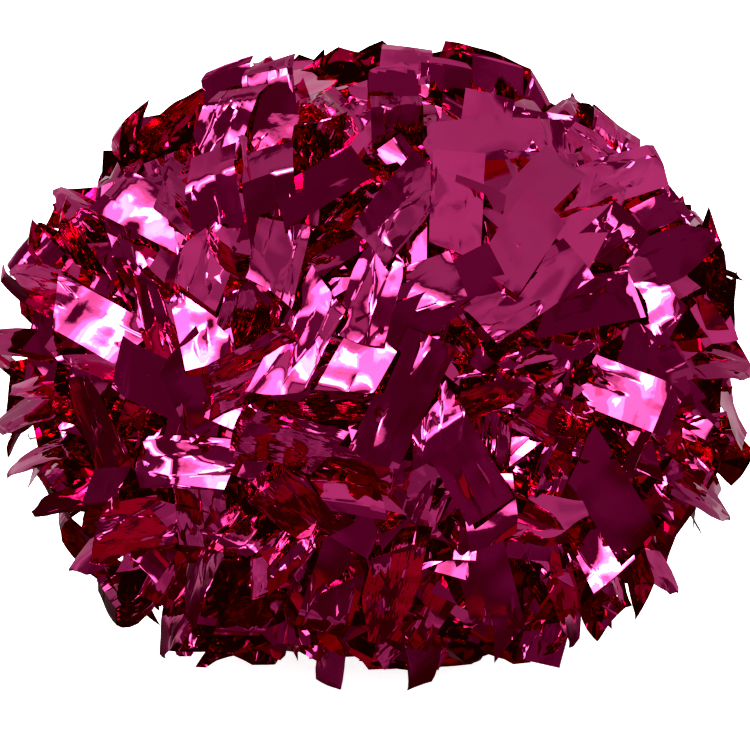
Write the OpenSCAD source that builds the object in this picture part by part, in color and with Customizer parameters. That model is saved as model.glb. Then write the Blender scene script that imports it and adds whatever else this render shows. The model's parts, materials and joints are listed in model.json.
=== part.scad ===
// Cheer pom pom with a hidden dowel handle.
// Two bundles of slit metallised film are bound onto the ends of one plastic
// tube. The handle runs along X, +Z is up, and the origin is on the resting
// surface under the middle of the grip. Millimetres.
//
// Each bundle is a stack of film sheets. The uncut band of every sheet is wound
// round the tube, taped and cinched with a cable tie, and the slit streamers
// leave both edges of the band. Streamers from the inner edge fold out over the
// grip, those from the outer edge make the shoulder and the end of the ball.
// A tuft is the envelope of one group of streamers. It flexes at its root bead,
// where the gathered film leaves the edge of the band.

/* [Ball] */
// Width of the fluffed ball, along the handle
pom_w = 280; // [270:2:300]
// Diameter of the fluffed ball, across the handle
pom_d = 240; // [230:2:252]
// Height of the handle's axis above the resting surface
axis_h = 110; // [106:1:114]

/* [Handle] */
// Outer diameter of the handle tube
tube_d = 25; // [24:0.5:26]
// Wall thickness of the handle tube
tube_wall = 2.5; // [2:0.25:3.5]
// Length of the handle tube
tube_len = 128; // [127:0.5:129]
// Depth of an end plug's shank inside the tube
plug_depth = 12; // [8:1:18]
// Thickness of an end plug's domed head
plug_head = 3; // [2:0.25:3]

/* [Binding] */
// Distance from the middle of the grip to the near edge of a film band
band_start = 43.5; // [43:0.25:44]
// Width of a film band, the part of the sheets that isn't slit
band_w = 18; // [17.5:0.25:18]
// Number of wound packs in a film band, four sheets in each
packs = 4; // [3:1:5]
// Thickness of one wound pack
pack_t = 1.05; // [0.8:0.05:1.05]
// Width of the strapping tape
tape_w = 14; // [10:1:16]
// Thickness of the strapping tape
tape_t = 0.6; // [0.4:0.1:0.8]
// Width of the cable tie's strap
tie_w = 4.8; // [3.6:0.2:5]
// Thickness of the cable tie's strap
tie_t = 1.3; // [1:0.1:1.5]

/* [Streamers] */
// Half angle of an inner tuft, round the handle
inner_half = 26; // [20:1:26]
// Half angle of an outer tuft, round the handle
outer_half = 23; // [18:1:23]
// Radius of the bead of gathered film at a tuft's root
bead_r = 2; // [1.6:0.1:2]
// Half angle of the cone of streamers that covers a handle end
end_half = 32; // [24:1:33]

/* [Hidden] */
$fn = 96;
gap = 0.3;              // between pieces that move past each other
fit = 0.05;             // between pieces that are assembled together
tube_r = tube_d / 2;
bore_r = tube_r - tube_wall;
half_len = tube_len / 2;
band_end = band_start + band_w;
band_mid = band_start + band_w / 2;
pack_pitch = pack_t + 0.05;
band_r = tube_r + fit + packs * pack_pitch;  // outside of the wound packs
tape_r = band_r + tape_t;
root_r = band_r + gap;                       // radius of a tuft's hinge line
inner_root = band_start - gap - bead_r;      // hinge lines along the handle
outer_root = band_end + gap + bead_r;
end_root = half_len + plug_head + 0.4 + 3;   // hinge line of an end tuft
inner_fan = [-16, 6];   // lean of an inner tuft's sides, outwards positive
outer_fan = [10, 42];
reach = 260;            // past the ball in any direction
film = [0.60, 0.03, 0.33];
film_deep = [0.44, 0.0, 0.22];
film_light = [0.74, 0.10, 0.46];
black = [0.05, 0.05, 0.055];

// Directions round the handle, in degrees from +Y towards +Z. -Y is the front.
SECTORS = [
    ["top", 90], ["upper_front", 150], ["lower_front", 210],
    ["bottom", 270], ["lower_back", 330], ["upper_back", 30]
];
function angle_of(name) = [for (s = SECTORS) if (s[0] == name) s[1]][0];

// ---- placing -----------------------------------------------------------------

// Puts a shape drawn round the X axis at the height of the handle, on one side.
module on_side(side) {
    translate([0, 0, axis_h]) mirror([side == "left" ? 1 : 0, 0, 0]) children();
}

// A ring round the X axis, from x0 over a width w.
module ring(x0, w, r_in, r_out) {
    translate([x0, 0, 0]) rotate([0, 90, 0]) difference() {
        cylinder(r = r_out, h = w);
        translate([0, 0, -1]) cylinder(r = r_in, h = w + 2);
    }
}

// ---- handle ------------------------------------------------------------------

module handle_tube() {
    color(black) translate([0, 0, axis_h]) rotate([0, 90, 0]) rotate_extrude()
        polygon([
            [bore_r, -half_len], [tube_r - 0.6, -half_len], [tube_r, -half_len + 0.6],
            [tube_r, half_len - 0.6], [tube_r - 0.6, half_len], [bore_r, half_len]
        ]);
}

module end_plug() {
    shank_r = bore_r - fit;
    color(black) translate([half_len, 0, 0]) rotate([0, 90, 0]) rotate_extrude()
        polygon([
            [0, -plug_depth], [shank_r - 1, -plug_depth], [shank_r, -plug_depth + 1],
            [shank_r, 0], [tube_r - 0.5, 0], [tube_r - 0.2, plug_head * 0.3],
            [tube_r - 1.2, plug_head * 0.6], [tube_r - 4, plug_head * 0.88],
            [tube_r - 8, plug_head], [0, plug_head]
        ]);
}

// ---- binding -----------------------------------------------------------------

// The uncut bands of the sheets, wound on as separate packs one over another.
module film_band() {
    color(film_deep) for (i = [0 : packs - 1])
        ring(band_start, band_w, tube_r + fit + i * pack_pitch, tube_r + fit + i * pack_pitch + pack_t);
}

module tape_wrap() {
    color([0.78, 0.76, 0.68]) ring(band_mid - tape_w / 2, tape_w, band_r, tape_r);
}

// A strap round the tape with its locking head, and the tail trimmed past it.
module cable_tie() {
    head_in = tape_r + fit;
    color([0.09, 0.09, 0.09]) {
        ring(band_mid - tie_w / 2, tie_w, tape_r + fit, tape_r + fit + tie_t);
        rotate([60, 0, 0]) difference() {
            translate([band_mid - 3.9, -2.6, head_in + tie_t * 0.4]) cube([7.8, 5.6, 5.2]);
            translate([band_mid - tie_w / 2 - 0.2, -5, head_in + tie_t + 1.2])
                cube([tie_w + 0.4, 10, tie_t + 0.5]);
        }
        rotate([60, 0, 0])
            translate([band_mid - tie_w / 2, -5.4, head_in + tie_t + 1.45]) cube([tie_w, 9.4, tie_t]);
    }
}

// ---- streamers ---------------------------------------------------------------

// The whole fluffed ball, flattened where it rests.
module ball() {
    intersection() {
        rotate([0, 90, 0]) rotate_extrude()
            polygon([for (t = [-90 : 6 : 90]) [max(0, pom_d / 2 * cos(t)), pom_w / 2 * sin(t)]]);
        translate([-reach, -reach, -axis_h]) cube([2 * reach, 2 * reach, 2 * reach]);
    }
}

// A wedge whose point is the hinge line at x, leaning between two angles from
// the radial direction, and held between two planes round the handle.
module wedge(x, fan, half) {
    intersection() {
        translate([0, reach, 0]) rotate([90, 0, 0]) linear_extrude(2 * reach)
            polygon([
                [x - bead_r, root_r], [x + bead_r, root_r],
                [x + bead_r + reach * sin(fan[1]), root_r + reach * cos(fan[1])],
                [x - bead_r + reach * sin(fan[0]), root_r + reach * cos(fan[0])]
            ]);
        translate([-reach, 0, 0]) rotate([90, 0, 90]) linear_extrude(3 * reach)
            polygon([
                [-root_r * tan(half), root_r], [root_r * tan(half), root_r],
                [reach * tan(half), reach], [-reach * tan(half), reach]
            ]);
    }
}

// One group of streamers: its wedge of the ball and the bead at its root.
module tuft(side, x, fan, half, at) {
    bead_l = 2 * root_r * tan(half) - 0.6;
    on_side(side) {
        intersection() {
            ball();
            rotate([at - 90, 0, 0]) wedge(x, fan, half);
        }
        rotate([at - 90, 0, 0]) translate([x, bead_l / 2, root_r]) rotate([90, 0, 0])
            cylinder(r = bead_r, h = bead_l);
    }
}

module inner_tuft(side, sector) {
    color(film) tuft(side, inner_root, inner_fan, inner_half, angle_of(sector));
}

module outer_tuft(side, sector) {
    color(film_light) tuft(side, outer_root, outer_fan, outer_half, angle_of(sector));
}

// The streamers that close over a handle end.
module end_tuft(side) {
    len = pom_w / 2 - end_root + 10;
    color(film) on_side(side) {
        intersection() {
            ball();
            translate([end_root, 0, 0]) rotate([0, 90, 0])
                cylinder(r1 = 9, r2 = 9 + len * tan(end_half), h = len);
        }
        translate([end_root, 8, 0]) rotate([90, 0, 0]) cylinder(r = 3, h = 16);
    }
}

// ---- nodes -------------------------------------------------------------------

handle_tube();
on_side("left") end_plug();  // left_end_plug
on_side("right") end_plug();  // right_end_plug
on_side("left") film_band();  // left_film_band
on_side("right") film_band();  // right_film_band
on_side("left") tape_wrap();  // left_tape_wrap
on_side("right") tape_wrap();  // right_tape_wrap
on_side("left") cable_tie();  // left_cable_tie
on_side("right") cable_tie();  // right_cable_tie
inner_tuft("left", "top");  // left_inner_top
inner_tuft("left", "upper_front");  // left_inner_upper_front
inner_tuft("left", "lower_front");  // left_inner_lower_front
inner_tuft("left", "bottom");  // left_inner_bottom
inner_tuft("left", "lower_back");  // left_inner_lower_back
inner_tuft("left", "upper_back");  // left_inner_upper_back
outer_tuft("left", "top");  // left_outer_top
outer_tuft("left", "upper_front");  // left_outer_upper_front
outer_tuft("left", "lower_front");  // left_outer_lower_front
outer_tuft("left", "bottom");  // left_outer_bottom
outer_tuft("left", "lower_back");  // left_outer_lower_back
outer_tuft("left", "upper_back");  // left_outer_upper_back
end_tuft("left");  // left_end_tuft
inner_tuft("right", "top");  // right_inner_top
inner_tuft("right", "upper_front");  // right_inner_upper_front
inner_tuft("right", "lower_front");  // right_inner_lower_front
inner_tuft("right", "bottom");  // right_inner_bottom
inner_tuft("right", "lower_back");  // right_inner_lower_back
inner_tuft("right", "upper_back");  // right_inner_upper_back
outer_tuft("right", "top");  // right_outer_top
outer_tuft("right", "upper_front");  // right_outer_upper_front
outer_tuft("right", "lower_front");  // right_outer_lower_front
outer_tuft("right", "bottom");  // right_outer_bottom
outer_tuft("right", "lower_back");  // right_outer_lower_back
outer_tuft("right", "upper_back");  // right_outer_upper_back
end_tuft("right");  // right_end_tuft
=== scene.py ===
import bpy, json, math
import numpy as np
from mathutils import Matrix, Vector


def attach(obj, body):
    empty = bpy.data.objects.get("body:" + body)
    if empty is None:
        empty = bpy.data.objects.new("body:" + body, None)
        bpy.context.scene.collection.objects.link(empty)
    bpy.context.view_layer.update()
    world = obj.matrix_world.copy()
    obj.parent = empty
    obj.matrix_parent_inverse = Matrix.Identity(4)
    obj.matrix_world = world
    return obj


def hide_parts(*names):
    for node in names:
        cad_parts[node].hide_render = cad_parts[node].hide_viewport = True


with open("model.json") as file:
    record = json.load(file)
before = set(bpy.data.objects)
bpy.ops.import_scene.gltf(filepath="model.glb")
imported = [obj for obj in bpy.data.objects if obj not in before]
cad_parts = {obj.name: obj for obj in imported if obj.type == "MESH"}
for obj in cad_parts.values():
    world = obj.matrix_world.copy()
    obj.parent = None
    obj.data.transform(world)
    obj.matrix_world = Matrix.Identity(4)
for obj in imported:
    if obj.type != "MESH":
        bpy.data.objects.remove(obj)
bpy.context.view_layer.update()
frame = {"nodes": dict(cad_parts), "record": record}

MM = 0.001
W = 19.05 * MM                      # streamer width, 3/4 in
STREAMER = 0.127                    # streamer length from the band to the tip, 5 in
behaviour = frame["record"]["behaviour"]
JOINT = {j["child"]: j for j in behaviour["joints"]}
BODY_OF = {n: b for b, ns in behaviour["bodies"].items() for n in ns}
AXIS_Z = JOINT["right_end_tuft_body"]["pos_m"][2]
A, B_ = 0.140, 0.120                # the ball's half width and radius
C0 = np.array([0.0, 0.0, AXIS_Z])
HUB_X = 0.0525
SECTOR = {"top": 90, "upper_front": 150, "lower_front": 210, "bottom": 270, "lower_back": 330, "upper_back": 30}

rng = np.random.default_rng(20)


# ---- small vector helpers on arrays of row vectors -----------------------------

def unit(v):
    return v / np.maximum(np.linalg.norm(v, axis=-1, keepdims=True), 1e-12)


def dot(a, b):
    return np.sum(a * b, axis=-1, keepdims=True)


def turn(v, k, ang):
    """v turned about the unit axis k by ang, row by row."""
    c, s = np.cos(ang)[..., None], np.sin(ang)[..., None]
    return v * c + np.cross(k, v) * s + k * dot(k, v) * (1 - c)


def perp(v, k):
    return unit(v - k * dot(v, k))


def lerp(a, b, t):
    return a + (b - a) * t


# ---- where the streamers' leaves lie -------------------------------------------

def lattice(n, seed, jitter=0.35):
    """n evenly spread directions, each moved a little at random."""
    g = np.random.default_rng(seed)
    i = np.arange(n) + 0.5
    ux = 1 - 2 * i / n
    az = math.pi * (1 + 5 ** 0.5) * i
    r = np.sqrt(1 - ux * ux)
    p = np.stack([ux, r * np.cos(az), r * np.sin(az)], -1)
    return unit(p + g.normal(0, jitter * 2 / math.sqrt(n), p.shape))


# leaves that stand out on the front. Each has its place on the ball, across and up as a part of the
# half width and half height, the way it points in degrees, its length in mm, how it faces and its roll.
# D faces out, U and M look up at the ceiling, P and W look at the lamp, R looks down, B is nearly edge on.
FEATURE = [
    (-0.28, 0.90, 92, 46, "D", 0), (-0.39, 0.90, 102, 38, "D", 0), (-0.39, 0.85, 75, 32, "P", 0),
    (-0.27, 0.64, 97, 46, "D", 0), (-0.42, 0.63, 101, 44, "D", 0), (-0.14, 0.69, 48, 30, "U", 0),
    (-0.15, 0.80, 82, 24, "R", 0), (-0.09, 0.87, 20, 30, "R", 0), (0.06, 0.85, 95, 26, "R", 0),
    (0.05, 0.95, 88, 26, "D", 0), (0.19, 0.96, 92, 28, "D", 0), (0.33, 0.93, 84, 28, "D", 0),
    (0.08, 0.97, 80, 30, "P", 20), (0.07, 0.63, 60, 36, "M", 0), (0.21, 0.64, 80, 36, "M", 0),
    (0.28, 0.80, 20, 36, "M", 0), (0.41, 0.65, 52, 36, "M", 0), (0.55, 0.58, 68, 34, "M", 0),
    (0.38, 0.53, 60, 34, "M", 0), (0.63, 0.66, 30, 42, "M", 0), (0.40, 0.39, 45, 40, "M", 0),
    (0.59, 0.49, 40, 40, "D", 0), (0.75, 0.55, 35, 34, "D", 0), (0.80, 0.44, 20, 30, "D", 0),
    (0.57, 0.35, 10, 32, "D", 0), (0.72, 0.30, 300, 20, "W", 0), (-0.25, 0.49, 75, 24, "M", 0),
    (-0.43, 0.47, 72, 26, "M", 0), (-0.38, 0.43, 160, 30, "R", 0), (-0.33, 0.33, 70, 22, "R", 0),
    (-0.31, 0.18, 30, 32, "R", 0), (-0.21, -0.03, 350, 32, "R", 0), (-0.44, 0.30, 102, 26, "W", 0),
    (0.0, 0.43, 84, 38, "P", 0), (0.11, 0.41, 25, 26, "P", 0), (-0.18, 0.28, 68, 40, "P", 0),
    (-0.03, 0.22, 60, 24, "W", 0), (0.10, 0.31, 15, 36, "D", 0), (0.19, 0.40, 25, 36, "D", 0),
    (0.07, 0.10, 62, 42, "D", 0), (0.16, 0.04, 95, 24, "P", 0), (-0.62, 0.60, 148, 34, "W", 0),
    (-0.51, 0.62, 130, 22, "P", 40), (-0.74, 0.27, 152, 34, "W", 0), (-0.53, -0.11, 172, 42, "P", 0),
    (-0.69, -0.17, 262, 30, "M", 55), (-0.58, 0.12, 160, 32, "D", 0), (-0.47, 0.13, 118, 30, "D", 0),
    (-0.61, -0.35, 197, 52, "R", 0), (-0.35, -0.32, 232, 30, "M", 0), (0.67, 0.06, 338, 36, "W", 0),
    (0.72, -0.10, 318, 30, "P", 0), (-0.35, -0.60, 262, 34, "M", 30), (-0.06, -0.19, 350, 24, "M", 0),
    (0.43, -0.27, 12, 30, "M", 0), (0.73, -0.50, 300, 40, "P", 50), (0.04, -0.55, 258, 36, "R", 0),
    (0.32, -0.52, 285, 36, "D", 0), (-0.12, -0.54, 250, 30, "D", 0), (0.24, -0.12, 300, 30, "D", 0),
    (-0.19, -0.26, 310, 30, "R", 0), (0.51, -0.02, 330, 34, "R", 0), (0.63, -0.26, 300, 36, "D", 0),
    (-0.88, 0.42, 140, 34, "B", 62), (-0.69, 0.72, 122, 36, "B", 60), (-0.66, 0.75, 96, 36, "B", 76),
    (-0.80, 0.50, 120, 34, "B", 66), (-0.91, 0.28, 165, 34, "B", 60), (-0.72, 0.01, 112, 40, "B", 50),
    (-0.90, 0.04, 182, 34, "B", 64), (-0.88, -0.16, 190, 34, "B", 60), (-0.82, -0.31, 205, 34, "B", 60),
    (-0.55, 0.82, 60, 30, "R", 40), (-0.95, 0.15, 175, 34, "B", 52), (-0.86, 0.36, 150, 34, "B", 46),
    (-0.78, 0.56, 135, 34, "B", 50), (-0.93, -0.05, 186, 34, "B", 55), (-0.75, -0.45, 215, 36, "B", 48),
    (-0.60, -0.68, 235, 34, "B", 45), (0.88, -0.30, 330, 34, "B", 50), (0.78, -0.52, 310, 36, "B", 52),
    (0.93, 0.10, 5, 30, "B", 50), (-0.56, 0.30, 112, 38, "B", 48), (-0.62, 0.42, 134, 36, "B", 55),
    (-0.50, -0.50, 240, 38, "B", 50), (0.55, -0.60, 300, 36, "B", 50), (0.15, -0.85, 275, 34, "B", 45),
    (-0.15, -0.86, 262, 34, "B", 52), (0.42, -0.30, 330, 32, "B", 45), (-0.24, -0.40, 235, 34, "B", 48),
    (0.62, -0.42, 300, 26, "W", 0), (0.30, -0.25, 280, 22, "P", 0), (0.86, -0.14, 322, 26, "P", 0),
    (-0.70, 0.15, 160, 34, "B", 56), (0.30, 0.10, 20, 30, "B", 60), (-0.30, 0.72, 110, 34, "B", 64),
]

layers = []
for n, lo, hi, seed in ((540, 0.93, 1.0, 1), (380, 0.84, 0.92, 2), (180, 0.66, 0.80, 3)):
    d = lattice(n, seed)
    g = np.random.default_rng(seed + 50)
    layers.append((d, g.uniform(lo, hi, n), np.full(n, seed)))
DIR = np.concatenate([x[0] for x in layers])
SCALE = np.concatenate([x[1] for x in layers])
LAYER = np.concatenate([x[2] for x in layers])
fx = np.array([[f[0], -math.sqrt(max(0.0004, 1 - f[0] ** 2 - f[1] ** 2)), f[1]] for f in FEATURE])
fx = unit(fx)
# the leaves around a feature leaf lie a little deeper
for f, d in zip(FEATURE, fx):
    way = np.array([math.cos(math.radians(f[2])), 0, math.sin(math.radians(f[2]))])
    rel = (DIR - d) * np.array([A, B_, B_])
    along = rel @ way
    aside = np.linalg.norm(rel - along[:, None] * way, axis=1)
    near = (LAYER == 1) & (aside < 0.024) & (along > -0.5 * f[3] * MM - 0.022) & (along < 0.5 * f[3] * MM + 0.018)
    SCALE = np.where(near, np.minimum(SCALE, 0.93 if f[4] in "MU" else 0.90), SCALE)
sink = (LAYER == 1) & (DIR[:, 2] < -0.30) & (np.random.default_rng(31).random(len(DIR)) < np.where(DIR[:, 0] > 0.25, 0.22, np.where(np.abs(DIR[:, 0]) < 0.25, 0.50, 0.40)))
SCALE = np.where(sink, 0.80, SCALE)
# the parting across the front, where the leaves above turn up and those below turn down
part = (LAYER == 1) & (DIR[:, 1] < -0.2) & (np.abs(DIR[:, 2] + 0.045) < 0.055) & (np.abs(DIR[:, 0] - 0.05) < 0.72)
SCALE = np.where(part, 0.82, SCALE)
SCALE = np.where((LAYER == 2) & ((DIR[:, 2] > 0.15) | (np.abs(DIR[:, 0]) > 0.6)), SCALE + 0.03, SCALE)
DIR = np.concatenate([DIR, fx])
SCALE = np.concatenate([SCALE, np.array([{"B": 1.035, "P": 1.02, "W": 1.02, "M": 1.02}.get(f[4], 1.01) for f in FEATURE])])
LAYER = np.concatenate([LAYER, np.ones(len(FEATURE), int)])
M = len(DIR)
HR = np.arange(M - len(FEATURE), M)                      # the rows of the feature leaves
FLEN = np.array([f[3] for f in FEATURE]) * 1.18 * MM
FWAY = np.array([[math.cos(math.radians(f[2])), 0, math.sin(math.radians(f[2]))] for f in FEATURE])
FTONE = np.array([f[4] for f in FEATURE])
FROLL = np.radians([f[5] for f in FEATURE])
# where each facing looks, degrees around and up, and how much each varies
LOOK = {"D": (8, -4, 18, 5), "U": (-92, 74, 12, 4), "M": (45, 67, 22, 6), "P": (-37, 34, 2, 4), "W": (-21, 33.5, 5, 3), "R": (20, -42, 14, 10), "B": (0, 0, 1, 1)}
FLOOK = np.array([LOOK[f] for f in FTONE], dtype=float)

side = np.where(DIR[:, 0] < 0, -1, 1)
absx = np.abs(DIR[:, 0]) * A
ring = np.where(absx < 0.056, 0, np.where(absx < 0.112, 1, 2))
az = np.degrees(np.arctan2(DIR[:, 2], DIR[:, 1])) % 360
names = list(SECTOR)
gaps = np.abs((az[:, None] - np.array([SECTOR[n] for n in names])[None] + 180) % 360 - 180)
sector = np.argmin(gaps, axis=1)


def node_of(i):
    s = "left" if side[i] < 0 else "right"
    if ring[i] == 2:
        return f"{s}_end_tuft"
    return f"{s}_{('inner', 'outer')[ring[i]]}_{names[sector[i]]}"


NODE = [node_of(i) for i in range(M)]
SURF = C0 + DIR * np.array([A, B_, B_])                   # on the ball, which tapers below
taper = np.clip((-DIR[:, 2] - 0.05) / 0.9, 0, 1)
taper = taper * taper * (3 - 2 * taper)
SURF[:, 0] *= (1 - 0.13 * taper) * 0.972
SURF[:, 2] += 0.004 * taper
GOAL = 0.99 + np.abs(np.random.default_rng(9).normal(0, 0.035, M))
GOAL = np.where(SCALE < 0.93, SCALE + 0.045, GOAL)
GOAL[HR] = 1.02
NS = unit(DIR / np.array([A, B_, B_]))                     # the ball's normal there

# roots, on the bead of gathered film at the edge of the band
ROOT, ROOT_B = np.zeros((M, 3)), np.zeros((M, 3))
for i in range(M):
    j = JOINT[BODY_OF[NODE[i]]]
    if ring[i] == 2:
        a = math.radians(az[i])
        r = rng.uniform(1.0, 7.5) * MM
        ROOT[i] = [j["pos_m"][0] + side[i] * rng.uniform(-0.8, 1.2) * MM, r * math.cos(a), AXIS_Z + r * math.sin(a)]
        ROOT_B[i] = [0, -math.sin(a), math.cos(a)]
    else:
        mid = SECTOR[names[sector[i]]]
        off = (az[i] - mid + 180) % 360 - 180
        a = math.radians(mid + np.clip(off, -30, 30) * 0.62)
        r = math.hypot(j["pos_m"][1], j["pos_m"][2] - AXIS_Z) + rng.uniform(-1.2, 1.6) * MM
        ROOT[i] = [j["pos_m"][0] + rng.uniform(-1.3, 1.3) * MM, r * math.cos(a), AXIS_Z + r * math.sin(a)]
        ROOT_B[i] = [0, -math.sin(a), math.cos(a)]

# ---- the film's paths ----------------------------------------------------------

N1, N2, NU = 11, 17, 6      # rungs inside, rungs of the leaf, columns across
K = 10                      # tries for each streamer


def smooth01(x):
    x = np.clip(x, 0, 1)
    return x * x * (3 - 2 * x)


def region_of(S):
    """Where a leaf lies in the front view: right, up and towards the front, each -1 to 1."""
    q = (S - C0) / np.array([A, B_, B_])
    return q[:, 0], q[:, 2], -q[:, 1]


TILT = math.radians(10)
# how often each kind of facing occurs, by region of the ball
KIND_P = np.array([
    [0.17, 0.02, 0.66, 0.03, 0.03, 0.09],       # upper right
    [0.36, 0.09, 0.28, 0.10, 0.09, 0.08],       # upper left
    [0.44, 0.12, 0.22, 0.05, 0.05, 0.12],       # top
    [0.32, 0.32, 0.14, 0.02, 0.04, 0.16],       # middle
    [0.20, 0.07, 0.40, 0.02, 0.18, 0.13],       # left
    [0.38, 0.07, 0.26, 0.02, 0.07, 0.20],       # right
    [0.24, 0.03, 0.42, 0.02, 0.12, 0.17],       # bottom
    [0.32, 0.16, 0.26, 0.03, 0.08, 0.15],       # back
    [0.30, 0.08, 0.16, 0.02, 0.04, 0.40]])      # underneath the outer leaves
# where each kind looks, as degrees around and degrees up
KIND_RANGE = np.array([[[-58, 58], [-10, 17]], [[-40, 3], [25, 43]], [[-14, 120], [54, 82]],
                       [[-116, -68], [66, 82]], [[0, 0], [0, 0]], [[-50, 50], [-60, -18]]], dtype=float)
qx0, qz0, qf0 = region_of(SURF)
REGION = np.where((qx0 > -0.05) & (qz0 > 0.12), 0, np.where((qx0 < -0.3) & (qz0 > 0.3), 1, 3))
REGION = np.where((np.abs(qx0 + 0.1) < 0.35) & (qz0 > 0.62), 2, REGION)
REGION = np.where((qx0 < -0.42) & (qz0 <= 0.3), 4, REGION)
REGION = np.where((qx0 > 0.42) & (qz0 <= 0.12), 5, REGION)
REGION = np.where(qz0 < -0.42, 6, REGION)
REGION = np.where(qf0 < -0.12, 7, REGION)
REGION = np.where(LAYER > 1, 8, REGION)


def build(rng):
    """One try at every streamer: points (M, rungs, NU + 1, 3), the lengths along and across the film, its cost and how
    crinkled it is.
    """
    qx, qz, qf = region_of(SURF)
    front = smooth01((qf + 0.55) / 0.5)
    comb = np.where(qf[:, None] > -0.12, np.array([[0.0, -1, 0]]), np.array([[0.0, 1, 0]]))
    hub = C0 + np.stack([side * HUB_X, 0 * qx, -0.006 * np.clip(qf, 0, 1)], -1)
    o = SURF - hub
    o[:, 1] = 0
    o = unit(o + rng.normal(0, 0.006, o.shape) * np.array([1, 0, 1]))
    # how untidy each region is
    messy = 0.14 + 0.0 * qx
    messy = np.where((qx > 0.05) & (qz > 0.05), 0.06, messy)        # broad flat leaves
    messy = np.where((qx < -0.55), 0.34, messy)                      # spiky
    messy = np.where(qz < -0.45, 0.34, messy)
    messy = np.where(LAYER > 1, 0.25, messy)
    wild = rng.random(M) < messy
    eta = rng.normal(0, 1, M) * np.where(wild, 1.0, 0.33)
    delta = rng.normal(0.16, 0.20, M) * np.where(wild, 2.0, 1.0)
    roll = rng.normal(0, 1, M) * np.where(wild, 1.0, 0.10)
    t = turn(o, comb, eta)
    t = unit(t * np.cos(delta)[:, None] + comb * np.sin(delta)[:, None])
    # around the rim between front and back the leaves lie over, any way round
    facing = np.abs(NS[:, 1])
    rim = rng.random(M) < 0.62 * (1 - smooth01((facing - 0.16) / 0.26))
    over_ = unit(NS * rng.uniform(0.15, 0.55, M)[:, None] + perp(rng.normal(0, 1, NS.shape), NS))
    t = np.where(rim[:, None], over_, t)
    wild &= ~rim
    # which way each leaf faces: kinds are facing out, tipped up a little, tipped up a lot, up and aside, edge on, down
    out_w = unit(NS * np.array([1.0, 1, 0.35]))
    w = np.where(((NS[:, 1] < -0.20) & ~rim)[:, None], np.array([[0.0, -math.cos(TILT), math.sin(TILT)]]), out_w)
    pick = rng.random(M)[:, None] > np.cumsum(KIND_P[REGION], 1)
    kind = np.minimum(pick.sum(1), 5)
    lo, hi = KIND_RANGE[kind, :, 0], KIND_RANGE[kind, :, 1]
    ang = np.radians(lo + (hi - lo) * rng.random((M, 2)))
    ang[:, 0] *= np.where((kind == 2) & (qx < -0.2) & (NS[:, 1] < -0.20), -0.5, 1.0)
    waz = np.arctan2(w[:, 0], -w[:, 1]) + ang[:, 0]
    d = np.stack([np.sin(waz) * np.cos(ang[:, 1]), -np.cos(waz) * np.cos(ang[:, 1]), np.sin(ang[:, 1])], -1)
    n = unit(unit(w + d) + rng.normal(0, 0.03, d.shape))
    edge_on = turn(perp(w, t), t, rng.choice([-1, 1], M) * rng.uniform(1.0, 1.38, M))
    n = np.where((kind == 4)[:, None], edge_on, n)
    n = np.where(wild[:, None], turn(perp(comb, t), t, roll), n)
    t = perp(t, n)
    # keep every leaf pointing out of the ball a little
    NP = NS - n * dot(NS, n)
    out = dot(t, NS)[:, 0]
    need = np.where(wild, 0.05, 0.10) + rng.random(M) * 0.12
    t = unit(t + NP * np.maximum(0, need - out)[:, None] * 1.3)
    leaf = rng.uniform(46, 70, M) * MM
    # the feature leaves
    H = len(HR)
    ang = np.radians(FLOOK[:, :2] + FLOOK[:, 2:] * rng.uniform(-1, 1, (H, 2)))
    wf = np.array([[0.0, -math.cos(TILT), math.sin(TILT)]])
    d = np.stack([np.sin(ang[:, 0]) * np.cos(ang[:, 1]), -np.cos(ang[:, 0]) * np.cos(ang[:, 1]), np.sin(ang[:, 1])], -1)
    fn = unit(wf + d)
    ft = turn(FWAY, wf + 0 * FWAY, rng.normal(0, 0.05, H))
    fn = np.where((FTONE == "B")[:, None], perp(wf + 0 * ft, ft), fn)
    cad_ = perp(ft, fn)
    up_side = np.where(turn(fn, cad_, FROLL)[:, 2] > turn(fn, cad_, -FROLL)[:, 2], 1, -1)
    fn = turn(fn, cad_, FROLL * np.where(FTONE == "B", up_side * np.where(rng.random(H) < 0.85, 1, -1), 1))
    ft = perp(ft, fn)
    t[HR], n[HR], leaf[HR], wild[HR] = ft, fn, FLEN, False
    kind[HR] = 0
    b = np.cross(n, t)
    out = dot(t, NS)[:, 0]
    # the tip ends at the layer's height over the ball
    S = C0 + (SURF - C0) * SCALE[:, None]
    tip = S + NS * (rng.uniform(-2.5, 3.0, M) * MM)[:, None] + t * (leaf * 0.5 * (1 - np.abs(out)))[:, None]
    tip[HR] = S[HR] + t[HR] * (leaf[HR] * 0.5)[:, None]
    E = tip - t * leaf[:, None]
    # the inner run, from the root to the elbow
    chord = E - ROOT
    dist = np.linalg.norm(chord, axis=1)
    er = unit((ROOT - C0) * np.array([0.0, 1, 1]))
    d_root = unit(unit(chord) * 0.7 + er * np.where(ring == 2, 0.0, 0.5)[:, None] + rng.normal(0, 0.10, chord.shape)
                  + np.where(ring == 2, side, 0.0)[:, None] * np.array([[0.5, 0, 0]]))
    d_in = unit(unit(chord) * 0.8 + t * 0.25 + rng.normal(0, 0.16, chord.shape))
    h = dist * 0.36
    spare = np.maximum(0, STREAMER - leaf - dist * 1.05)
    side_way = perp(rng.normal(0, 1, chord.shape), unit(chord))
    side_way *= np.where(dot(side_way, NS) > 0, -1, 1)
    bow = side_way * np.minimum(np.sqrt(spare * dist / 1.3), 0.034)[:, None]
    P1, P2 = ROOT + d_root * h[:, None] + bow, E - d_in * h[:, None] + bow
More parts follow.
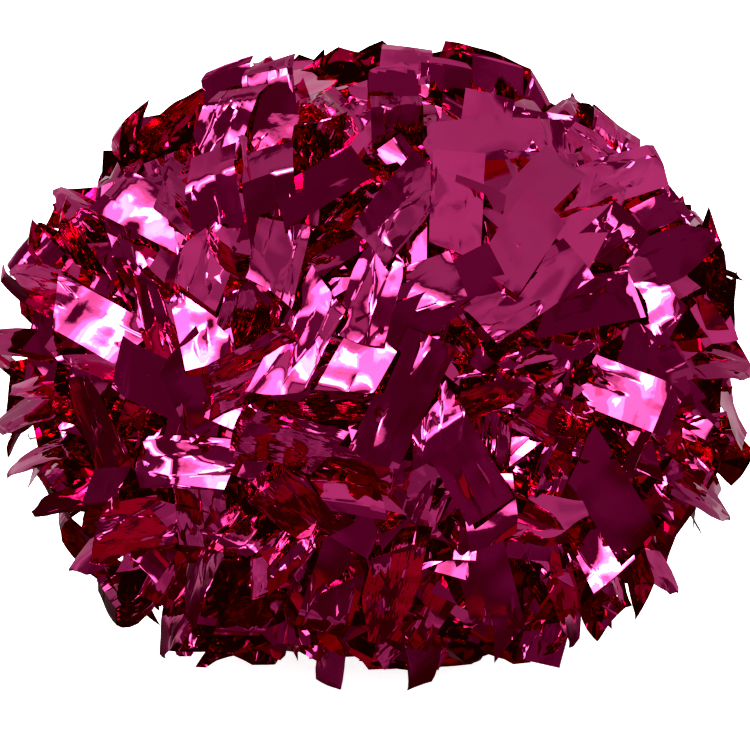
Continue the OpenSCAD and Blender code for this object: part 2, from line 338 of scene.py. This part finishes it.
    # the fold at the elbow, about a line that lies in the film on both sides of it
    ct = dot(t, d_in)[:, 0]
    tanp = dot(b, d_in)[:, 0] / np.maximum(1 - ct, 0.08)
    lim = 0.75
    over = np.abs(tanp) > lim
    tanp = np.clip(tanp, -lim, lim)
    r = unit(b + t * tanp[:, None])
    th = np.arctan2(dot(np.cross(d_in - r * dot(d_in, r), t - r * dot(t, r)), r)[:, 0],
                    dot(d_in - r * dot(d_in, r), t - r * dot(t, r))[:, 0])
    T, Bf = turn(t, r, -th), turn(b, r, -th)      # the film before the fold
    flip = dot(Bf, ROOT_B)[:, 0] < 0
    T0, B0 = T.copy(), Bf.copy()
    # creases in the leaf
    ds = (leaf / (N2 - 1))
    soft = rng.choice([1, 2, 4], M, p=[0.45, 0.3, 0.25])
    soft[HR] = 1
    theta = np.zeros((M, N2))
    for k in range(4):
        theta[:, k] += np.where(k < soft, th / soft, 0)
    crinkle = np.clip(rng.beta(1.5, 2.4, M) + 0.35 * np.exp(-((qx + 0.02) ** 2 + (qz - 0.1) ** 2) / 0.10) * (qf > 0), 0, 1)
    crinkle = np.where((kind == 5) & (rng.random(M) < 0.5), np.maximum(crinkle, 0.85), crinkle)
    crinkle[HR] = np.array([{"D": 0.25, "U": 0.15, "M": 0.35, "P": 0.50, "W": 0.40, "R": 1.0, "B": 0.5}[f] for f in FTONE])
    tp = np.repeat(tanp[:, None], N2, 1)
    base = rng.normal(0, 0.35, M)
    n_cr = rng.choice([0, 1, 2, 3], M, p=[0.38, 0.34, 0.20, 0.08])
    n_cr[HR] = np.where(np.isin(FTONE, ["P", "R"]) & (FLEN > 0.03), n_cr[HR], 0)
    last = np.full(M, 0)
    lastv = tanp.copy()
    idx = np.arange(N2)[None]
    for c in range(3):
        at = np.clip(last + rng.integers(4, 8, M), 0, N2 - 1)
        ok = (c < n_cr) & (at <= N2 - 4)
        v = np.clip(base + rng.normal(0, 0.25, M), -0.65, 0.65)
        v = np.where(ok, v, 0)
        at2 = np.where(ok, at, N2 - 1)
        w_ = np.clip((idx - last[:, None]) / np.maximum(at2 - last, 1)[:, None], 0, 1)
        seg = (idx >= last[:, None]) & (idx <= at2[:, None])
        tp = np.where(seg & (last < at2)[:, None], lerp(lastv[:, None], v[:, None], w_), tp)
        big = rng.random(M)
        ang = np.where(big < 0.62, rng.uniform(0.08, 0.30, M), np.where(big < 0.90, rng.uniform(0.35, 0.85, M), rng.uniform(0.85, 1.7, M)))
        ang *= rng.choice([-1, 1], M) * np.where(wild, 1.15, 0.8)
        rows = np.where(ok)[0]
        theta[rows, at[rows]] += ang[rows]
        last, lastv = at2, v
    tail = idx > last[:, None]
    tp = np.where(tail & (last < N2 - 1)[:, None], lerp(lastv[:, None], 0, (idx - last[:, None]) / np.maximum(N2 - 1 - last, 1)[:, None]), tp)
    # slow curl, and a strong one on some
    curl = rng.normal(0, 0.026, M) * np.where(wild, 1.8, 1) + np.where(rng.random(M) < 0.12, rng.normal(0, 0.10, M), 0)
    curl[HR] = rng.normal(0, 0.006, H) + np.where(FTONE == "B", rng.normal(0, 0.022, H), 0)
    cen = E.copy()
    leafC, leafT, leafB = [], [], []
    step = 3.1 / 9.5
    for k in range(N2):
        leafC.append(cen.copy()); leafT.append(T.copy()); leafB.append(Bf.copy())
        rr = unit(Bf + T * tp[:, k][:, None])
        a_ = theta[:, k] + np.where(k >= 3, curl, 0)
        T, Bf = turn(T, rr, a_), turn(Bf, rr, a_)
        cen = cen + T * ds[:, None]
    leafC, leafT, leafB = (np.stack(x, 1) for x in (leafC, leafT, leafB))
    s = np.linspace(0, 1, N1, endpoint=False)[None, :, None]
    inC = ((1 - s) ** 3) * ROOT[:, None] + 3 * (1 - s) ** 2 * s * P1[:, None] + 3 * (1 - s) * s ** 2 * P2[:, None] + s ** 3 * E[:, None]
    inT = unit(3 * (1 - s) ** 2 * (P1 - ROOT)[:, None] + 6 * (1 - s) * s * (P2 - P1)[:, None] + 3 * s ** 2 * (E - P2)[:, None])
    rb = np.where(flip[:, None], -ROOT_B, ROOT_B)
    ease = smooth01(s)
    inB = perp(lerp(rb[:, None], B0[:, None], ease), inT)
    Cc = np.concatenate([inC, leafC], 1)
    Tt = np.concatenate([inT, leafT], 1)
    Bb = np.concatenate([inB, leafB], 1)
    tpp = np.concatenate([smooth01(np.linspace(-0.6, 1, N1))[None] * tanp[:, None], tp], 1)
    wid = np.concatenate([0.5 + 0.5 * smooth01(np.linspace(0, 3.0, N1)), np.ones(N2)])[None] * (W / 2)
    curled = np.zeros((M, 1))                    # tips that curl in to a point
    curled[HR, 0] = FTONE == "B"
    curled[:, 0] = np.where((rng.random(M) < 0.10) & (curled[:, 0] == 0), 0.8, curled[:, 0])
    wid = wid * (1 - 0.86 * curled * smooth01((np.arange(N1 + N2) - (N1 + N2 - 9)) / 8.5)[None])
    u = np.linspace(-1, 1, NU + 1)
    P = Cc[:, :, None] + (u[None, None, :, None] * wid[:, :, None, None]) * (Bb + Tt * tpp[..., None])[:, :, None]
    # length along the film, for the pattern and the crumple
    seg = np.linalg.norm(np.diff(Cc, axis=1), axis=2)
    along = np.concatenate([np.zeros((M, 1)), np.cumsum(seg, 1)], 1)
    ss = along[:, :, None] + u[None, None] * wid[:, :, None] * tpp[:, :, None]
    uu = u[None, None] * wid[:, :, None] + 0 * ss
    Nn = np.cross(Tt, Bb)
    hgt = np.zeros_like(ss)
    for k in range(5):
        lam = rng.uniform(9, 30, M) * MM
        psi = rng.normal(0, 0.75, M)
        ph = rng.random(M)
        x = (ss * np.cos(psi)[:, None, None] + uu * np.sin(psi)[:, None, None]) / lam[:, None, None] + ph[:, None, None]
        tri = np.abs((x % 1) - 0.5) * 2 - 0.5
        hgt += tri * (lam * rng.uniform(0.01, 0.045, M))[:, None, None]
    cup = rng.normal(0, 0.55, M) * MM
    hgt = hgt * (0.25 + 1.0 * crinkle)[:, None, None] + cup[:, None, None] * (u ** 2)[None, None]
    fade = smooth01(np.arange(N1 + N2) / 5.0)[None, :, None]
    P = P + Nn[:, :, None] * (hgt * fade)[..., None]
    # many ends are cut on the slant
    cut = np.where(rng.random(M) < 0.55, rng.uniform(0.25, 0.95, M), rng.uniform(0.0, 0.15, M)) * rng.choice([-1, 1], M)
    cut[HR] = np.where(np.isin(FTONE, ["D", "M", "U"]) & (rng.random(H) < 0.6), 0.08, cut[HR])
    R_ = N1 + N2
    back = np.abs(cut)[:, None] * (u[None] * np.sign(cut)[:, None] + 1) / 2
    root_row = P[:, R_ - 6:R_ - 5]
    P[:, R_ - 5:] = P[:, R_ - 5:] + (root_row - P[:, R_ - 5:]) * back[:, None, :, None]
    # cost: out of the ball, under the floor, or a leaf that turned away from its place
    q = (P - C0) / np.array([A, B_, B_])
    rad = np.linalg.norm(q, axis=3)
    top = rad.reshape(M, -1).max(1)
    goal = np.where(LAYER == 1, GOAL, np.where(LAYER == 2, 0.95, 0.86))
    tipr = rad[:, -1].mean(1)
    low = P[..., 2].reshape(M, -1).min(1)
    lift = np.where(low < 0.002, (0.002 - low) / 0.02, 0)
    cost = np.maximum(0, top - 1.07) * 60 + np.abs(np.maximum(top, tipr) - goal - 0.01) * 6 + lift * 2.5 + over * 0.15
    cost = cost + np.maximum(0, rad[:, :N1].reshape(M, -1).max(1) - 0.95) * 25 + rng.random(M) * 0.25
    return P, ss, uu, cost, crinkle


best = None
for k in range(K):
    cand = build(np.random.default_rng(1000 + k))
    if best is None:
        best = list(cand)
    else:
        better = cand[3] < best[3]
        for q in range(5):
            best[q][better] = cand[q][better]
P, SS, UU, COST, CRINKLE = best
SHADE = np.random.default_rng(5).random(M) ** 0.8
SHADE[HR] = (np.arange(len(HR)) * 0.618 + 0.2) % 1

# nothing stands far out of the ball, and what meets the floor lies flat on it
q = (P - C0) / np.array([A, B_, B_])
rad = np.linalg.norm(q, axis=3, keepdims=True)
limit = (1.03 + 0.055 * np.random.default_rng(77).random(M))[:, None, None, None]
P = C0 + (P - C0) * np.where(rad > limit, (limit + (rad - limit) * 0.15) / np.maximum(rad, 1e-9), 1.0)
lay = (rng.random(M) * 3.0 * MM)[:, None, None]
z = P[..., 2]
low = z < 0.006
P[..., 2] = np.where(low, 0.0008 + lay * 0.9 + 0.10 * (np.maximum(z, -0.02) + 0.02), z)


# ---- materials -----------------------------------------------------------------

def new_material(name):
    m = bpy.data.materials.new(name)
    m.use_nodes = True
    nt = m.node_tree
    nt.nodes.clear()
    out = nt.nodes.new("ShaderNodeOutputMaterial")
    sh = nt.nodes.new("ShaderNodeBsdfPrincipled")
    nt.links.new(sh.outputs[0], out.inputs[0])
    return m, nt, sh


def add(nt, kind, **k):
    nd = nt.nodes.new(kind)
    for a, v in k.items():
        setattr(nd, a, v)
    return nd


def mathn(nt, op, a, b=None, c=None):
    nd = add(nt, "ShaderNodeMath", operation=op)
    for i, v in enumerate((a, b, c)):
        if v is None:
            continue
        if isinstance(v, (int, float)):
            nd.inputs[i].default_value = v
        else:
            nt.links.new(v, nd.inputs[i])
    return nd.outputs[0]


def ramp(nt, fac, stops):
    nd = add(nt, "ShaderNodeValToRGB")
    el = nd.color_ramp.elements
    while len(el) > 1:
        el.remove(el[-1])
    el[0].position, el[0].color = stops[0][0], (*stops[0][1], 1)
    for p, c in stops[1:]:
        e = el.new(p)
        e.color = (*c, 1)
    nt.links.new(fac, nd.inputs[0])
    return nd.outputs[0]


def film_material(name, tint_a, tint_b):
    """Metallised film: flat mirror areas, with zones that are crumpled into small flat facets."""
    m, nt, sh = new_material(name)
    uv = add(nt, "ShaderNodeUVMap", uv_map="film")
    cr = add(nt, "ShaderNodeAttribute", attribute_name="crinkle").outputs["Fac"]

    def mapped(sx, sy, rot=0.0):
        mp = add(nt, "ShaderNodeMapping")
        mp.inputs["Scale"].default_value = (sx, sy, 1)
        mp.inputs["Rotation"].default_value = (0, 0, rot)
        nt.links.new(uv.outputs[0], mp.inputs[0])
        return mp.outputs[0]

    def noise(vec, scale, detail, rough=0.5):
        nz = add(nt, "ShaderNodeTexNoise", noise_dimensions="2D")
        nz.inputs["Scale"].default_value = scale
        nz.inputs["Detail"].default_value = detail
        nz.inputs["Roughness"].default_value = rough
        nt.links.new(vec, nz.inputs["Vector"])
        return nz

    def span(v, lo, hi, out=1.0):
        mr = add(nt, "ShaderNodeMapRange", interpolation_type="SMOOTHSTEP")
        for k, x in (("From Min", lo), ("From Max", hi), ("To Min", 0.0), ("To Max", out)):
            mr.inputs[k].default_value = x
        nt.links.new(v, mr.inputs["Value"])
        return mr.outputs[0]

    def facets(sx, sy, rot, amount, warp):
        """Cells of the film, each tilted its own way."""
        base = mapped(sx, sy, rot)
        w = noise(base, 0.9, 2.0)
        mix = add(nt, "ShaderNodeVectorMath", operation="MULTIPLY_ADD")
        nt.links.new(w.outputs["Color"], mix.inputs[0])
        mix.inputs[1].default_value = (warp, warp, 0)
        nt.links.new(base, mix.inputs[2])
        vo = add(nt, "ShaderNodeTexVoronoi", feature="F1", voronoi_dimensions="2D")
        vo.inputs["Scale"].default_value = 1.0
        nt.links.new(mix.outputs[0], vo.inputs["Vector"])
        sb = add(nt, "ShaderNodeVectorMath", operation="SUBTRACT")
        nt.links.new(vo.outputs["Color"], sb.inputs[0])
        sb.inputs[1].default_value = (0.5, 0.5, 0.5)
        sc = add(nt, "ShaderNodeVectorMath", operation="SCALE")
        nt.links.new(sb.outputs[0], sc.inputs[0])
        nt.links.new(amount, sc.inputs["Scale"])
        ed = add(nt, "ShaderNodeTexVoronoi", feature="DISTANCE_TO_EDGE", voronoi_dimensions="2D")
        ed.inputs["Scale"].default_value = 1.0
        nt.links.new(mix.outputs[0], ed.inputs["Vector"])
        return sc.outputs[0], ed.outputs["Distance"]

    # how deep in the ball this point lies: it drives the painted shade between the leaves in the colour below, and it
    # also calms the crumple and roughens the film
    painted_shade_depth = add(nt, "ShaderNodeAttribute", attribute_name="painted_shade_depth").outputs["Fac"]
    calm = mathn(nt, "MULTIPLY_ADD", painted_shade_depth, -0.85, 1.0)
    zone = noise(mapped(42, 26), 1.0, 1.5)
    where = span(mathn(nt, "ADD", zone.outputs[0], mathn(nt, "MULTIPLY", cr, 0.34)), 0.60, 0.72)
    where = mathn(nt, "MULTIPLY", where, calm)
    big, crack = facets(150, 30, 0.22, mathn(nt, "MULTIPLY", where, 0.40), 0.6)
    near = mathn(nt, "MULTIPLY_ADD", span(crack, 0.02, 0.13), -1.0, 1.0)
    small, _ = facets(520, 150, -0.35, mathn(nt, "MULTIPLY", mathn(nt, "MULTIPLY", where, near), 0.65), 0.7)
    # long soft ripples, and a fine orange peel that keeps flat areas from being perfect
    rip = noise(mapped(70, 16, 0.2), 1.0, 2.0)
    peel = noise(mapped(260, 200), 1.0, 2.0)
    fine = noise(mapped(330, 75, -0.35), 1.0, 2.5, 0.6)
    h = mathn(nt, "ADD", mathn(nt, "MULTIPLY", rip.outputs[0], mathn(nt, "MULTIPLY_ADD", cr, 0.50, 0.07)),
              mathn(nt, "MULTIPLY", peel.outputs[0], 0.020))
    h = mathn(nt, "ADD", h, mathn(nt, "MULTIPLY", fine.outputs[0], span(cr, 0.72, 0.95, 0.24)))
    bp = add(nt, "ShaderNodeBump")
    bp.inputs["Strength"].default_value = 0.55
    bp.inputs["Distance"].default_value = 0.0022
    nt.links.new(h, bp.inputs["Height"])
    va = add(nt, "ShaderNodeVectorMath", operation="ADD")
    nt.links.new(big, va.inputs[0])
    nt.links.new(small, va.inputs[1])
    vb = add(nt, "ShaderNodeVectorMath", operation="ADD")
    nt.links.new(va.outputs[0], vb.inputs[0])
    nt.links.new(bp.outputs[0], vb.inputs[1])
    nn = add(nt, "ShaderNodeVectorMath", operation="NORMALIZE")
    nt.links.new(vb.outputs[0], nn.inputs[0])
    nt.links.new(nn.outputs[0], sh.inputs["Normal"])
    nt.links.new(nn.outputs[0], sh.inputs["Coat Normal"])
    tone = noise(mapped(22, 22), 1.0, 3.0)
    col = ramp(nt, tone.outputs[0], [(0.3, tint_a), (0.7, tint_b)])
    # painted shade: deep inside the ball the film's colour is mixed towards a darker red (0.78, 0.024, 0.15), standing
    # in for the shade that falls between the leaves
    inner = add(nt, "ShaderNodeMix", data_type="RGBA")
    nt.links.new(painted_shade_depth, inner.inputs["Factor"])
    nt.links.new(col, inner.inputs[6])
    inner.inputs[7].default_value = (0.78, 0.024, 0.15, 1)
    # each streamer reflects a little more or less than the next
    own = add(nt, "ShaderNodeAttribute", attribute_name="shade").outputs["Fac"]
    tinted = add(nt, "ShaderNodeVectorMath", operation="SCALE")
    nt.links.new(inner.outputs[2], tinted.inputs[0])
    nt.links.new(mathn(nt, "MULTIPLY_ADD", own, 0.42, 0.64), tinted.inputs["Scale"])
    nt.links.new(tinted.outputs[0], sh.inputs["Base Color"])
    nt.links.new(mathn(nt, "MULTIPLY_ADD", painted_shade_depth, 0.26, mathn(nt, "MULTIPLY_ADD", tone.outputs[0], 0.05, 0.02)), sh.inputs["Roughness"])
    sh.inputs["Metallic"].default_value = 1.0
    sh.inputs["Coat Weight"].default_value = 0.55
    sh.inputs["Coat Roughness"].default_value = 0.05
    sh.inputs["Coat IOR"].default_value = 1.5
    return m


FILM = film_material("film_rose", (0.93, 0.090, 0.370), (0.88, 0.070, 0.320))


def plastic(name, color, rough, grain, grain_scale, spec=0.5, coat=0.0):
    m, nt, sh = new_material(name)
    tc = add(nt, "ShaderNodeTexCoord")
    nz = add(nt, "ShaderNodeTexNoise")
    nz.inputs["Scale"].default_value = grain_scale
    nz.inputs["Detail"].default_value = 4.0
    nt.links.new(tc.outputs["Object"], nz.inputs["Vector"])
    big = add(nt, "ShaderNodeTexNoise")
    big.inputs["Scale"].default_value = 45.0
    big.inputs["Detail"].default_value = 3.0
    nt.links.new(tc.outputs["Object"], big.inputs["Vector"])
    c = np.array(color)
    nt.links.new(ramp(nt, big.outputs[0], [(0.35, tuple(c * 0.82)), (0.65, tuple(np.minimum(c * 1.2, 1)))]), sh.inputs["Base Color"])
    nt.links.new(mathn(nt, "MULTIPLY_ADD", big.outputs[0], 0.18, rough - 0.09), sh.inputs["Roughness"])
    bp = add(nt, "ShaderNodeBump")
    bp.inputs["Strength"].default_value = 0.35
    bp.inputs["Distance"].default_value = grain
    nt.links.new(nz.outputs[0], bp.inputs["Height"])
    nt.links.new(bp.outputs[0], sh.inputs["Normal"])
    sh.inputs["Specular IOR Level"].default_value = spec
    sh.inputs["Coat Weight"].default_value = coat
    return m


HANDLE = plastic("handle_plastic", (0.028, 0.028, 0.032), 0.42, 0.00012, 900)
PLUG = plastic("plug_plastic", (0.022, 0.022, 0.025), 0.26, 0.00004, 500, coat=0.2)
NYLON = plastic("tie_nylon", (0.035, 0.035, 0.036), 0.48, 0.00006, 700)
TAPE = plastic("strapping_tape", (0.62, 0.58, 0.46), 0.36, 0.00005, 1500)

def wound_film():
    """The film's wound edges: fine turns around the tube, with a few loose ones."""
    m, nt, sh = new_material("wound_film")
    tc = add(nt, "ShaderNodeTexCoord")
    mp = add(nt, "ShaderNodeMapping")
    mp.inputs["Scale"].default_value = (900, 60, 60)
    nt.links.new(tc.outputs["Object"], mp.inputs[0])
    turns = add(nt, "ShaderNodeTexNoise")
    turns.inputs["Scale"].default_value = 1.0
    turns.inputs["Detail"].default_value = 3.0
    nt.links.new(mp.outputs[0], turns.inputs["Vector"])
    loose = add(nt, "ShaderNodeTexNoise")
    loose.inputs["Scale"].default_value = 160.0
    loose.inputs["Detail"].default_value = 2.0
    nt.links.new(tc.outputs["Object"], loose.inputs["Vector"])
    nt.links.new(ramp(nt, turns.outputs[0], [(0.35, (0.50, 0.022, 0.15)), (0.62, (0.93, 0.085, 0.36))]), sh.inputs["Base Color"])
    nt.links.new(mathn(nt, "MULTIPLY_ADD", loose.outputs[0], 0.22, 0.10), sh.inputs["Roughness"])
    bp = add(nt, "ShaderNodeBump")
    bp.inputs["Strength"].default_value = 0.6
    bp.inputs["Distance"].default_value = 0.0003
    nt.links.new(mathn(nt, "ADD", turns.outputs[0], mathn(nt, "MULTIPLY", loose.outputs[0], 0.8)), bp.inputs["Height"])
    nt.links.new(bp.outputs[0], sh.inputs["Normal"])
    sh.inputs["Metallic"].default_value = 1.0
    return m


WOUND = wound_film()

for name, o in frame["nodes"].items():
    m = None
    if name == "handle_tube": m = HANDLE
    elif name.endswith("end_plug"): m = PLUG
    elif name.endswith("cable_tie"): m = NYLON
    elif name.endswith("tape_wrap"): m = TAPE
    elif name.endswith("film_band"): m = WOUND
    if m:
        for s in (o.material_slots or []):
            s.material = m


# ---- meshes --------------------------------------------------------------------

def tuft_object(name, rows):
    R, Cn = N1 + N2, NU + 1
    pts = P[rows].reshape(-1, 3)
    k = len(rows)
    r, c = np.meshgrid(np.arange(R - 1), np.arange(Cn - 1), indexing="ij")
    a = (r * Cn + c).ravel()
    quad = np.stack([a, a + 1, a + Cn + 1, a + Cn], -1)
    quads = (quad[None] + (np.arange(k) * R * Cn)[:, None, None]).reshape(-1, 4)
    me = bpy.data.meshes.new(name)
    me.vertices.add(len(pts)); me.vertices.foreach_set("co", pts.astype(np.float32).ravel())
    me.loops.add(quads.size); me.loops.foreach_set("vertex_index", quads.astype(np.int32).ravel())
    me.polygons.add(len(quads))
    me.polygons.foreach_set("loop_start", np.arange(0, quads.size, 4, dtype=np.int32))
    me.update(calc_edges=True)
    me.validate()
    uvl = me.uv_layers.new(name="film")
    off = np.random.default_rng(abs(hash_name(name))).random((k, 2)) * 3.0
    uvp = np.stack([UU[rows] + off[:, 0, None, None], SS[rows] + off[:, 1, None, None]], -1).reshape(-1, 2)
    uvl.data.foreach_set("uv", uvp[quads.ravel()].astype(np.float32).ravel())
    at = me.attributes.new("crinkle", "FLOAT", "POINT")
    at.data.foreach_set("value", np.repeat(CRINKLE[rows], R * Cn).astype(np.float32))
    at = me.attributes.new("shade", "FLOAT", "POINT")
    at.data.foreach_set("value", np.repeat(SHADE[rows], R * Cn).astype(np.float32))
    # depth in the ball, 1 deep inside to 0 near the outside, for the painted shade between the leaves in the film's
    # colour
    at = me.attributes.new("painted_shade_depth", "FLOAT", "POINT")
    rel = np.linalg.norm((pts - C0) / np.array([A, B_, B_]), axis=1)
    at.data.foreach_set("value", (1 - smooth01((rel - 0.68) / 0.24)).astype(np.float32))
    me.polygons.foreach_set("use_smooth", np.ones(len(quads), dtype=bool))
    me.set_sharp_from_angle(angle=math.radians(24))
    me.materials.append(FILM)
    ob = bpy.data.objects.new(name, me)
    bpy.context.scene.collection.objects.link(ob)
    return ob


def hash_name(s):
    h = 7
    for ch in s:
        h = (h * 131 + ord(ch)) % 1000003
    return h


groups = {}
for i in range(M):
    groups.setdefault(NODE[i], []).append(i)
for node, rows in sorted(groups.items()):
    ob = tuft_object(node + "_streamers", np.array(rows))
    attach(ob, BODY_OF[node])
    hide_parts(node)

# ---- stage, light and camera ---------------------------------------------------

def plane(name, size, loc, rot=(0, 0, 0)):
    me = bpy.data.meshes.new(name)
    s = size / 2
    me.from_pydata([(-s, -s, 0), (s, -s, 0), (s, s, 0), (-s, s, 0)], [], [(0, 1, 2, 3)])
    o = bpy.data.objects.new(name, me)
    o.location, o.rotation_euler = loc, rot
    bpy.context.scene.collection.objects.link(o)
    return o


floor = plane("floor", 60, (0, 0, 0))
m, nt, sh = new_material("floor_white")
sh.inputs["Base Color"].default_value = (0.93, 0.93, 0.93, 1)
sh.inputs["Roughness"].default_value = 0.8
sh.inputs["Specular IOR Level"].default_value = 0.0
sh.inputs["Emission Color"].default_value = (1, 1, 1, 1)
sh.inputs["Emission Strength"].default_value = 0.72
floor.data.materials.append(m)
floor.visible_glossy = False

world = bpy.data.worlds.new("studio")
bpy.context.scene.world = world
world.use_nodes = True
bg = world.node_tree.nodes["Background"]
bg.inputs[0].default_value = (1, 1, 1, 1)
bg.inputs[1].default_value = 2.2
world.cycles_visibility.glossy = False

# what the film mirrors: a dim studio with a lit ceiling, seen only in reflections
bpy.ops.mesh.primitive_uv_sphere_add(segments=48, ring_count=24, radius=6, location=(0, 0, 0.11))
dome = bpy.context.object
dome.name = "studio_dome"
m = bpy.data.materials.new("studio_dome")
m.use_nodes = True
nt = m.node_tree
nt.nodes.clear()
out = nt.nodes.new("ShaderNodeOutputMaterial")
em = nt.nodes.new("ShaderNodeEmission")
nt.links.new(em.outputs[0], out.inputs[0])
tc = add(nt, "ShaderNodeTexCoord")
nrm = add(nt, "ShaderNodeVectorMath", operation="NORMALIZE")
nt.links.new(tc.outputs["Object"], nrm.inputs[0])
sep = add(nt, "ShaderNodeSeparateXYZ")
nt.links.new(nrm.outputs[0], sep.inputs[0])


# azimuth from the camera's side towards +X, and elevation, in degrees
az_ = mathn(nt, "MULTIPLY", mathn(nt, "ARCTAN2", sep.outputs[0], mathn(nt, "MULTIPLY", sep.outputs[1], -1.0)), 180 / math.pi)
el_ = mathn(nt, "MULTIPLY", mathn(nt, "ARCSINE", sep.outputs[2]), 180 / math.pi)


def edge(nt, v, lo, hi, soft):
    mr = add(nt, "ShaderNodeMapRange", interpolation_type="SMOOTHSTEP")
    for k, x in (("From Min", lo - soft), ("From Max", lo + soft), ("To Min", 0.0), ("To Max", 1.0)):
        mr.inputs[k].default_value = x
    nt.links.new(v, mr.inputs["Value"])
    m2 = add(nt, "ShaderNodeMapRange", interpolation_type="SMOOTHSTEP")
    for k, x in (("From Min", hi - soft), ("From Max", hi + soft), ("To Min", 1.0), ("To Max", 0.0)):
        m2.inputs[k].default_value = x
    nt.links.new(v, m2.inputs["Value"])
    return mathn(nt, "MULTIPLY", mr.outputs[0], m2.outputs[0])


def panel(total, az0, az1, el0, el1, level, soft=1.2):
    """A flat lit panel of the studio. It covers what lies behind it."""
    k = mathn(nt, "MULTIPLY", edge(nt, az_, az0, az1, soft), edge(nt, el_, el0, el1, soft))
    return mathn(nt, "ADD", mathn(nt, "MULTIPLY", total, mathn(nt, "SUBTRACT", 1.0, k)), mathn(nt, "MULTIPLY", k, level))


# the room: dark below, a little lighter above
total = mathn(nt, "MULTIPLY_ADD", edge(nt, el_, -14, 200, 9), 0.068, 0.040)
total = panel(total, -400, 400, 50, 100, 0.33, 2.0)          # ceiling
total = panel(total, -125, -62, 62, 86, 0.12, 2.0)            # an unlit part of it
total = panel(total, 115, 400, -4, 53, 0.40, 3.0)             # pale backdrop behind the object
total = panel(total, -400, -115, -4, 53, 0.40, 3.0)
total = panel(total, -46, 8, 21, 47, 1.05)                   # soft box above the camera
total = panel(total, -42, 2, 24, 43, 1.9, 1.2)
total = panel(total, -32, -10, 28, 39, 5.5, 1.6)              # its bright middle
total = panel(total, 22, 40, 26, 50, 0.38)
total = panel(total, -46, 2, -50, -19, 0.30)                  # a lit part of the table
total = panel(total, 66, 82, -5, 45, 2.6)                     # strips at the sides
total = panel(total, -84, -66, -12, 38, 2.2)
# nothing in a room is evenly lit
patch = add(nt, "ShaderNodeTexNoise")
patch.inputs["Scale"].default_value = 2.6
patch.inputs["Detail"].default_value = 0.0
nt.links.new(nrm.outputs[0], patch.inputs["Vector"])
total = mathn(nt, "MULTIPLY", total, mathn(nt, "MULTIPLY_ADD", edge(nt, patch.outputs[0], 0.5, 9.0, 0.12), 0.40, 0.82))
nt.links.new(total, em.inputs["Strength"])
# low down the room is lit by what the film throws on it
warm = mathn(nt, "MULTIPLY", edge(nt, el_, -75, -21, 4), mathn(nt, "ADD", edge(nt, az_, 8, 34, 4), edge(nt, az_, -84, -50, 4)))
tone = add(nt, "ShaderNodeMix", data_type="RGBA")
nt.links.new(warm, tone.inputs["Factor"])
tone.inputs[6].default_value = (1, 1, 1, 1)
tone.inputs[7].default_value = (5.2, 0.0, 1.4, 1)
nt.links.new(tone.outputs[2], em.inputs["Color"])
dome.data.materials.append(m)
m.cycles.emission_sampling = "NONE"
dome.visible_camera = False
dome.visible_diffuse = False
dome.visible_shadow = False


def area(name, loc, size, power, target=(0, 0, 0.11), size_y=None):
    l = bpy.data.lights.new(name, "AREA")
    l.energy = power
    l.shape = "RECTANGLE"
    l.size = size
    l.size_y = size_y or size
    o = bpy.data.objects.new(name, l)
    o.location = loc
    o.rotation_euler = (Vector(target) - Vector(loc)).to_track_quat("-Z", "Y").to_euler()
    bpy.context.scene.collection.objects.link(o)
    return o


area("key", (-0.55, -1.6, 1.25), 0.34, 3.0)
area("rim", (1.75, -0.35, 0.75), 0.4, 3.2)
area("left_strip", (-1.85, -0.45, 0.5), 0.25, 3.2, size_y=0.7)

cam_data = bpy.data.cameras.new("camera")
cam = bpy.data.objects.new("camera", cam_data)
bpy.context.scene.collection.objects.link(cam)
bpy.context.scene.camera = cam
el, dist = math.radians(10), 1.8
aim = Vector((0.0, 0.0, 0.1095))
cam.location = aim + Vector((0, -math.cos(el), math.sin(el))) * dist
cam.rotation_euler = (aim - cam.location).to_track_quat("-Z", "Y").to_euler()
cam_data.sensor_width = 36
cam_data.lens = 36 / (2 * (0.2825 / 2) / dist)
cam_data.clip_end = 100

bpy.context.scene.view_settings.view_transform = "Standard"
vs = bpy.context.scene.view_settings
vs.look = "Medium High Contrast"
vs.use_curve_mapping = True
vs.curve_mapping.black_level = (-0.009, 0.010, 0.010)
vs.curve_mapping.update()

bpy.context.view_layer.update()
